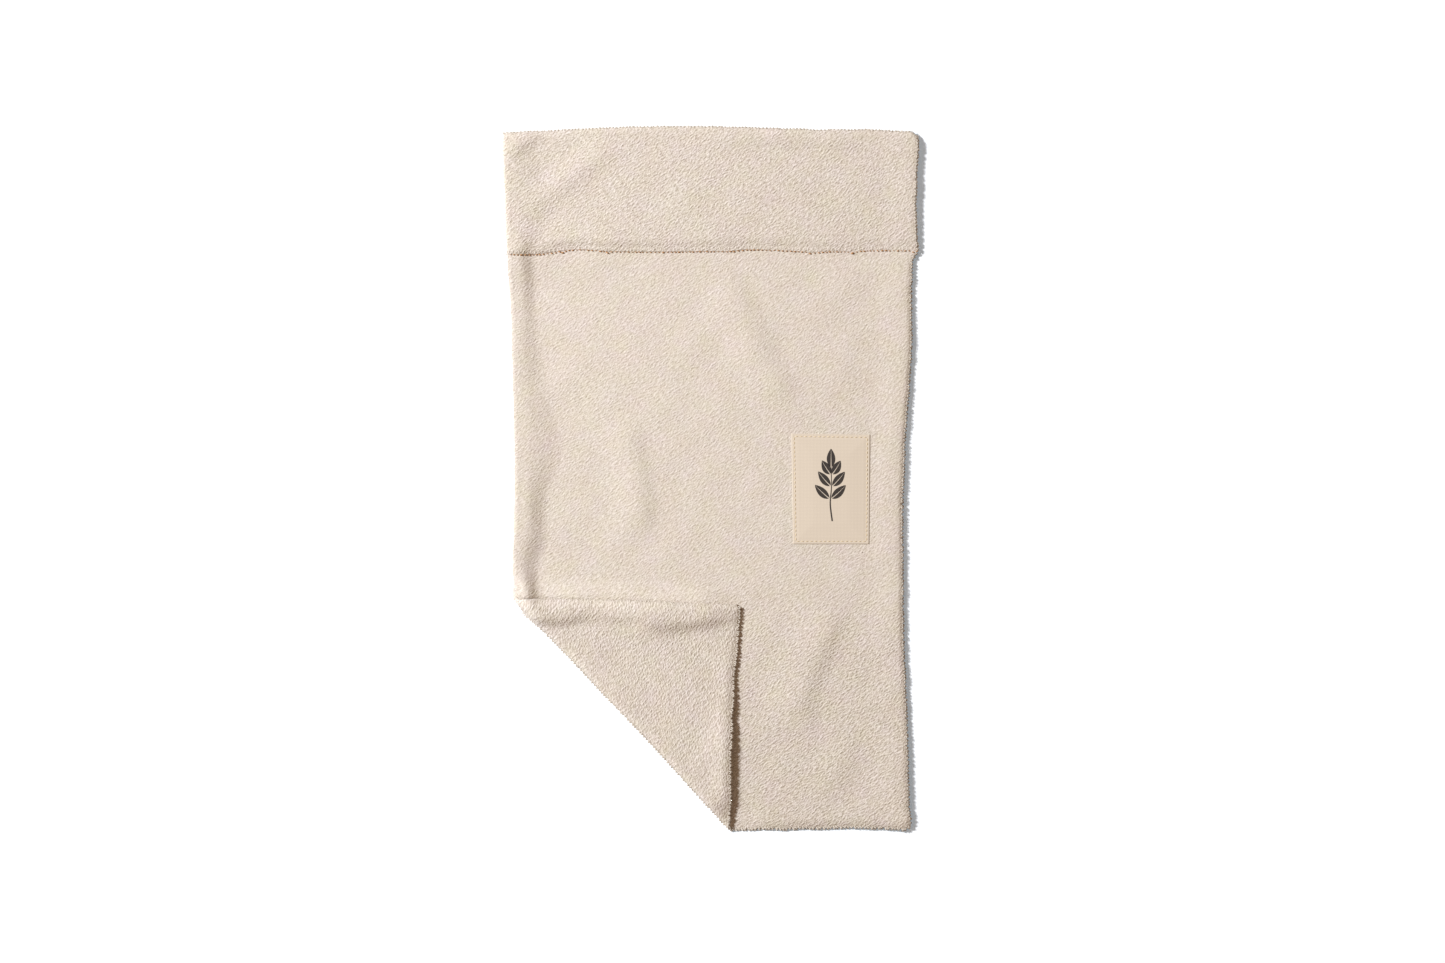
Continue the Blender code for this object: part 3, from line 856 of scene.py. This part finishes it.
def bake_map(points, rows):
    """Unrolls the pouch: round it across, and along the profile upwards with the hidden rows squeezed."""
    up = step_lengths(points[:, points.shape[1] // 4]) * np.where(rows[-1][1:], HIDDEN_SCALE, 1)
    v, u = shares_along(up), shares_along(step_lengths(points[len(points) // 4]))
    return np.stack(np.broadcast_arrays(u[None, :], v[:, None]), axis=-1) * 0.996 + 0.002


def cloth_map(points, rows):
    """The plan of the flat pouch, carried on where the cloth turns down at its edges, so that its pattern
    isn't drawn out there. Its unit is 100 mm."""
    laid = lay_down(points)
    across, up = step_lengths(laid, 1), step_lengths(laid)
    plan = points[..., :2].copy()
    half = SIDE_TURN_STEPS // 2
    last = points.shape[1] - 1
    right = (last - 2 * SIDE_TURN_STEPS) // 2
    for step in range(half):
        plan[:, right + step + 1, 0] = plan[:, right + step, 0] + across[:, right + step]
        plan[:, last - step - 1, 0] = plan[:, last - step, 0] - across[:, last - step - 1]
    for middle, toward in ((right + half, -1), (last - half, 1)):
        back = middle - toward * half
        for step in range(1, half):
            plan[:, back + toward * step, 0] = blend(plan[:, back, 0], plan[:, middle, 0], step / half)
    height, _, share, shift, _ = rows
    for number in range(np.argmax(shift == 0), 0, -1):
        plan[number - 1, :, 1] = plan[number, :, 1] - up[number - 1]
    for number in np.flatnonzero((height < CUFF_OUT) & (share == 1) & (shift > PLY_GAP)):
        plan[number, :, 1] = plan[number - 1, :, 1] + up[number - 1]
    return plan / 100


def make_bag(material):
    rows = profile_rows()
    points = flat_pouch(rows, ring_columns())
    bm = grid_of(points, {"cloth": cloth_map(points, rows), "OFBake": bake_map(points, rows)})
    bmesh.ops.remove_doubles(bm, verts=bm.verts, dist=0.001)
    for step in range(BEND_STEPS + 1):
        place = by_fold(BEND_LENGTH * step / BEND_STEPS - BEND_AXIS, 0)
        bmesh.ops.bisect_plane(bm, geom=bm.verts[:] + bm.edges[:] + bm.faces[:], dist=0.01,
                               plane_co=(*place, 0), plane_no=(*FOLD_OUT, 0))
    back = bm.verts.layers.float.new("back_ply")
    loft = bm.verts.layers.float.new("loft")
    flat = np.array([vertex.co for vertex in bm.verts])
    for vertex, place in zip(bm.verts, lay_down(flat)):
        vertex[back] = 1.0 if vertex.co.z < 0 else 0.0
        more = CUFF_LOFT * (vertex.co.z > BODY_OUT) + LOW_LOFT * ramp(vertex.co.y, *LOW_LOFT_FROM)
        vertex[loft] = FRONT_LOFT + more if vertex.co.z > 0 else BACK_LOFT
        vertex.co = place * MM
    bmesh.ops.recalc_face_normals(bm, faces=bm.faces)
    bag = add_piece("bag_cloth_fine", bm, material)
    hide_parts("bag_cloth")
    return bag


def label_place(u, v):
    """A point of the label in the flat plan, from shares across and up."""
    low_left, low_right, high_right, high_left = np.array(LABEL_CORNERS)
    u, v = np.asarray(u)[..., None], np.asarray(v)[..., None]
    return blend(blend(low_left, low_right, u), blend(high_left, high_right, u), v)


def label_top(u, v):
    """The label's upper surface: its field crowns a little, and its stitches pull a groove round it."""
    plan = label_place(u, v)
    laid = lay_down(np.concatenate([plan, np.full(plan.shape[:-1] + (1,), BODY_OUT)], axis=-1))
    inset = np.minimum(np.minimum(u, 1 - u) * LABEL_WIDTH, np.minimum(v, 1 - v) * LABEL_LENGTH)
    laid[..., 2] += LABEL_CLEAR + LABEL_THICK + LABEL_CROWN * ramp(inset, STITCH_INSET, LABEL_CROWN_REACH)
    laid[..., 2] -= STITCH_DENT * bell((inset - STITCH_INSET) / STITCH_DENT_REACH)
    laid[..., 2] -= LABEL_SINKS * ramp(inset, LABEL_EDGE, 0)
    return laid


def make_label(material):
    u, v = np.meshgrid(even_shares(LABEL_WIDTH, LABEL_STEP), even_shares(LABEL_LENGTH, LABEL_STEP))
    maps = {"cloth": label_place(u, v) / 100}
    label = add_piece("label_cloth", grid_of(label_top(u, v) * MM, maps), material)
    thicken = label.modifiers.new("thickness", "SOLIDIFY")
    thicken.thickness = LABEL_THICK * MM
    thicken.offset = -1
    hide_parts("label")
    return label


def thread_rod(sides, thick, length, axis, cuts):
    """A straight rod of thread along X (axis 0) or Y (axis 1), cut across into steps."""
    bm = bmesh.new()
    turn = Matrix.Rotation(math.pi / 2, 4, "Y") if axis == 0 else Matrix.Rotation(-math.pi / 2, 4, "X")
    bmesh.ops.create_cone(bm, segments=sides, radius1=thick / 2, radius2=thick / 2, depth=length,
                          cap_ends=True, matrix=turn)
    edges = [edge for edge in bm.edges
             if abs(edge.verts[0].co[axis] - edge.verts[1].co[axis]) > length / 2]
    bmesh.ops.subdivide_edges(bm, edges=edges, cuts=cuts)
    return bm


def stitch_template(length, thread):
    """One stitch lying along X: a thread that rises out of the cloth, bows over it and goes down again."""
    bm = thread_rod(5, thread, length, 0, 3)
    for vertex in bm.verts:
        vertex.co.z += thread * (0.45 - abs(2 * vertex.co.x / length) ** 3)
    return bm


def face_squares(bm):
    """Corners of each face of a small template in its own square of the bake map."""
    across = math.ceil(math.sqrt(len(bm.faces)))
    corners = []
    for number, face in enumerate(bm.faces):
        for turn in range(len(face.loops)):
            angle = math.tau * (turn + 0.5) / len(face.loops)
            corners.append((number % across + 0.5 + 0.45 * math.cos(angle),
                            number // across + 0.5 + 0.45 * math.sin(angle)))
    return np.array(corners) / across


def copies_of(template, places):
    """Copies of a template in one bmesh, one at each place, given as matrices in millimetres. Each copy gets
    its own square of the bake map, and what would reach under the floor is pressed flat on it."""
    template.loops.layers.uv.new("OFBake")
    corners = face_squares(template)
    spots = np.array([vertex.co for vertex in template.verts])
    mesh = mesh_of(template, "template")
    square = mesh.uv_layers["OFBake"].data
    across = math.ceil(math.sqrt(len(places)))
    bm = bmesh.new()
    for number, place in enumerate(places):
        place = np.array(place)
        moved = spots @ place[:3, :3].T + place[:3, 3]
        moved[:, 2] = np.maximum(moved[:, 2], FLOOR_CLEAR)
        mesh.vertices.foreach_set("co", moved.ravel())
        square.foreach_set("uv", ((corners + (number % across, number // across)) / across).ravel())
        bm.from_mesh(mesh)
    bpy.data.meshes.remove(mesh)
    bmesh.ops.scale(bm, vec=(MM, MM, MM), verts=bm.verts)
    bmesh.ops.recalc_face_normals(bm, faces=bm.faces)
    return bm


def turned(most, along, across, out):
    """Turns the directions of a copy's X and Y about its Z, by a random angle of at most this."""
    turn = Matrix.Rotation(RNG.uniform(-most, most), 3, out)
    return turn @ along, turn @ across, out


def matrix_from(place, ways, size=1):
    """The placing of a copy, from its origin, where its X, Y and Z point, and its size."""
    matrix = Matrix([size * way for way in ways]).transposed().to_4x4()
    matrix.translation = place
    return matrix


def make_label_stitches(material):
    size = np.array([LABEL_WIDTH, LABEL_LENGTH])
    low = STITCH_INSET / size
    corners = np.array([low, (1 - low[0], low[1]), 1 - low, (low[0], 1 - low[1])])
    places = []
    for start, end in zip(corners, np.roll(corners, -1, axis=0)):
        count = round(math.hypot(*(end - start) * size) / STITCH_PITCH)
        for share in (np.arange(count) + 0.5) / count:
            here, ahead = (label_top(*blend(start, end, at)) for at in (share, share + 0.02))
            along = Vector(ahead - here).normalized()
            out = Vector((0, 0, 1))
            places.append(matrix_from(Vector(here), (along, out.cross(along), out)))
    template = stitch_template(STITCH_LENGTH, STITCH_THREAD)
    stitches = add_piece("label_stitches", copies_of(template, places), material)
    return stitches


def leaf_half(height, length, angle, side):
    """Points of one half of a leaf in the label's plan, from its midrib out, along the leaf."""
    t, across = np.meshgrid(np.linspace(0.02, 0.98, 12), np.linspace(0, 1, 4), indexing="ij")
    wide = LEAF_WIDE / 2 * np.sin(math.pi * t**0.85) ** 0.85
    bare = np.minimum(MIDRIB_WIDE / 2 * (1.2 - t), 0.8 * wide)
    out = side * blend(bare, wide, across) - np.sign(angle) * LEAF_BOW * t * t
    lean = math.radians(angle)
    along = STEM_WIDE + length * t
    x = curve(STEM, height) + along * math.sin(lean) + out * math.cos(lean)
    return x, height + along * math.cos(lean) - out * math.sin(lean)


def make_label_print(material):
    """A sprig of almond-shaped leaves with bare midribs, as a film of ink that follows the label."""
    foot, top = STEM[0][0], STEM[-1][0]
    up, across = np.meshgrid(np.linspace(foot, top, 24), np.linspace(-0.5, 0.5, 3), indexing="ij")
    patches = [(curve(STEM, up) + across * STEM_WIDE * (1.15 - 0.6 * ramp(up, foot, top)), up)]
    patches += [leaf_half(*leaf, side) for leaf in LEAVES for side in (-1, 1)]
    bm = bmesh.new()
    for x, y in patches:
        points = label_top(0.5 + x / LABEL_WIDTH, 0.5 + (y + PRINT_UP) / LABEL_LENGTH)
        points[..., 2] += PRINT_CLEAR
        mesh = mesh_of(grid_of(points * MM, {}), "patch")
        bm.from_mesh(mesh)
        bpy.data.meshes.remove(mesh)
    bm.normal_update()
    bmesh.ops.reverse_faces(bm, faces=[face for face in bm.faces if face.normal.z < 0])
    sprig = add_piece("label_print", bm, material)
    return sprig


def wrap_template():
    """One wrap of thread: it lies on the cloth along Y and turns down round the edge at the origin."""
    bm = thread_rod(5, WRAP_THREAD, 1, 1, 6)
    bend = PLY / 2
    total = WRAP_DEPTH + math.pi * bend
    for vertex in bm.verts:
        along = (vertex.co.y + 0.5) * total - WRAP_DEPTH
        angle = np.clip(along / bend, 0, math.pi)
        radius = bend + vertex.co.z
        sunk = WRAP_SINKS + 0.6 * WRAP_THREAD * ramp(-along, WRAP_DEPTH * 0.3, WRAP_DEPTH)
        vertex.co.y = -min(along, 0) - radius * math.sin(angle)
        vertex.co.z = radius * math.cos(angle) - bend - sunk
    return bm


def make_mouth_overlock(thread, knot_thread_and_shade):
    """Thread wrapped over the mouth's raw edge, with knots between the wraps, on the front and the back. The
    knots' dark tan is partly painted shade for the shaded gaps between the wraps.
    """
    left, right = side_ends(CUFF_EDGE + 1)
    wraps, knots = [], []
    for side in (1, -1):
        x = left
        while x < right:
            edge = curve(MOUTH, x)
            place, *ways = laid_frame((x, edge + PLY / 2, side * CUFF_OUT), side)
            wraps.append(matrix_from(place, turned(WRAP_TURN, *ways)))
            step = RNG.uniform(*WRAP_PITCH)
            big = min(abs(x + step / 2 - knot) for knot in BIG_KNOTS) < step / 2
            drop = RNG.uniform(0, KNOT_DROP) + (BIG_KNOT_DROP if big else 0)
            place, *ways = laid_frame((x + step / 2, edge - drop, side * BODY_OUT), side)
            ways = turned(KNOT_TURN, *ways)
            size = RNG.uniform(*KNOT_SIZES) * (BIG_KNOT_SIZE if big else 1)
            knots.append(matrix_from(place + KNOT_LIFT * ways[2], ways, size))
            x += step
    wrapped = add_piece("mouth_overlock_thread", copies_of(wrap_template(), wraps), thread)
    template = stitch_template(KNOT_LENGTH, KNOT_THREAD)
    knots_and_gap_shade = add_piece("mouth_overlock_knots_gap_shade", copies_of(template, knots), knot_thread_and_shade)
    return wrapped, knots_and_gap_shade


def edge_rows():
    """Rows round the edges, as (flat x, y and z, direction along the edge, way out, which edge). The loops
    of an edge's rows stand beside each other."""
    def lines(low, high, turns):
        at = np.arange(low, high, LOOP_PITCH)
        at = at + LOOP_PITCH * RNG.uniform(-0.2, 0.2, len(at))
        return [(turn, at + RNG.uniform(-0.3, 0.3, len(at))) for turn in turns]

    rows = []
    turns, cuff_turns = ([(math.cos(a), math.sin(a)) for a in np.radians(angles)]
                         for angles in (LOOP_ANGLES, CUFF_LOOP_ANGLES))
    for low, high, thick, side_turns in ((RIGHT_SIDE[0][0] + 6, CUFF_EDGE - 1, BODY_OUT, turns),
                                         (CUFF_EDGE + 1, TOP[-1][1] - 4, CUFF_OUT, cuff_turns)):
        for (out, up), y in lines(low, high, side_turns):
            x = side_ends(y)[1] + thick * right_pinch(y) * out
            rows.append(((x, y, thick * up), (0, 1, 0), (out, 0, up), "right"))
    for (out, up), x in lines(BOTTOM[0][0] + 2, BOTTOM[-1][0] - 2, turns):
        flat = (x, bottom_y(x) + BODY_OUT * (1 - out), BODY_OUT * up)
        rows.append((flat, (1, 0, 0), (0, -out, up), "bottom"))
    for side in (1, -1):
        for (out, up), x in lines(LEFT_CUFF[-1][1] + 1, RIGHT_CUFF[-1][1] - 3, turns):
            flat = (x, top_y(x) - TURN_OUT * (1 - out), side * (TURN_MIDDLE + TURN_OUT * up))
            rows.append((flat, (1, 0, 0), (0, out, side * up), "top"))
    for share, run in lines(-60, 260, BEND_LOOP_SHARES):
        x, y = by_fold(BEND_LENGTH * share - BEND_AXIS, run)
        inside = (x > side_ends(y)[0] + 6) & (y > bottom_y(x) + 1)
        rows.append(((x[inside], y[inside], -BODY_OUT), (*FOLD_ALONG, 0), (0, 0, -1), "bend"))
    return rows


def loop_template():
    """One yarn loop: a thread that stands up as an arc along X, with its feet in the cloth."""
    bm = thread_rod(4, LOOP_YARN, 1, 0, 4)
    for vertex in bm.verts:
        angle = 2 * vertex.co.x * LOOP_FOOT
        rise = LOOP_RISE + vertex.co.z
        vertex.co.x = (LOOP_SPAN / 2 + vertex.co.z) * math.sin(angle)
        vertex.co.z = rise * math.cos(angle) - LOOP_YARN / 2
    return bm


def make_edge_loops(material):
    places = []
    for spots, along, outward, edge in edge_rows():
        flat = np.stack(np.broadcast_arrays(*spots), axis=-1)
        steps = ((0, 0, 0), 0.3 * np.array(along), 0.2 * np.array(outward))
        for here, near, above in lay_down(np.add(flat[:, None], steps)):
            out = Vector(above - here).normalized()
            across = out.cross(Vector(near - here)).normalized()
            ways = turned(LOOP_TURN, across.cross(out), across, out)
            size = LOOP_SIZES[edge] * RNG.uniform(0.8, 1.2)
            places.append(matrix_from(Vector(here), ways, size))
    loops = add_piece("edge_yarn_loops", copies_of(loop_template(), places), material)
    return loops


def make_floor():
    bm = bmesh.new()
    bmesh.ops.create_grid(bm, x_segments=2, y_segments=2, size=6)
    mesh = mesh_of(bm, "floor")
    mesh.materials.append(white_acrylic())
    add_object("floor", mesh)


def make_studio():
    scene = bpy.context.scene
    scene.world = bpy.data.worlds.new("studio")
    scene.world.use_nodes = True
    set_inputs(scene.world.node_tree.nodes["Background"], {"Color": srgb("#FFDBBA"), "Strength": SKY})
    scene.view_settings.view_transform = "Standard"
    light = bpy.data.lights.new("key", "AREA")
    light.shape = "DISK"
    light.size = KEY_SIZE
    light.energy = KEY_POWER
    light.color = srgb("#F5FAFF")[:3]
    toward = Vector(KEY_FROM).normalized()
    key = add_object("key", light)
    key.location = toward * KEY_DISTANCE
    key.rotation_euler = toward.to_track_quat("Z", "Y").to_euler()
    camera = bpy.data.cameras.new("camera")
    camera.lens = LENS
    camera.sensor_width = SENSOR
    scene.camera = add_object("camera", camera)
    scene.camera.location = Vector((*VIEW_MIDDLE, VIEW_HEIGHT)) * MM


terry = french_terry()
bag = make_bag(terry)
label = make_label(label_cotton())
stitches = make_label_stitches(cotton_thread("label_thread", "#DCCBAB"))
sprig = make_label_print(printed_ink())
# The tan knot thread is partly painted shade: its dark colour stands for the shaded gaps between the wraps
overlock = make_mouth_overlock(cotton_thread("overlock_thread", "#E9E2D9"),
                               cotton_thread("tan_thread_and_gap_shade", "#B2875D"))
edge_loops = make_edge_loops(cotton_thread("terry_yarn", "#C8BFB3"))
make_floor()
make_studio()
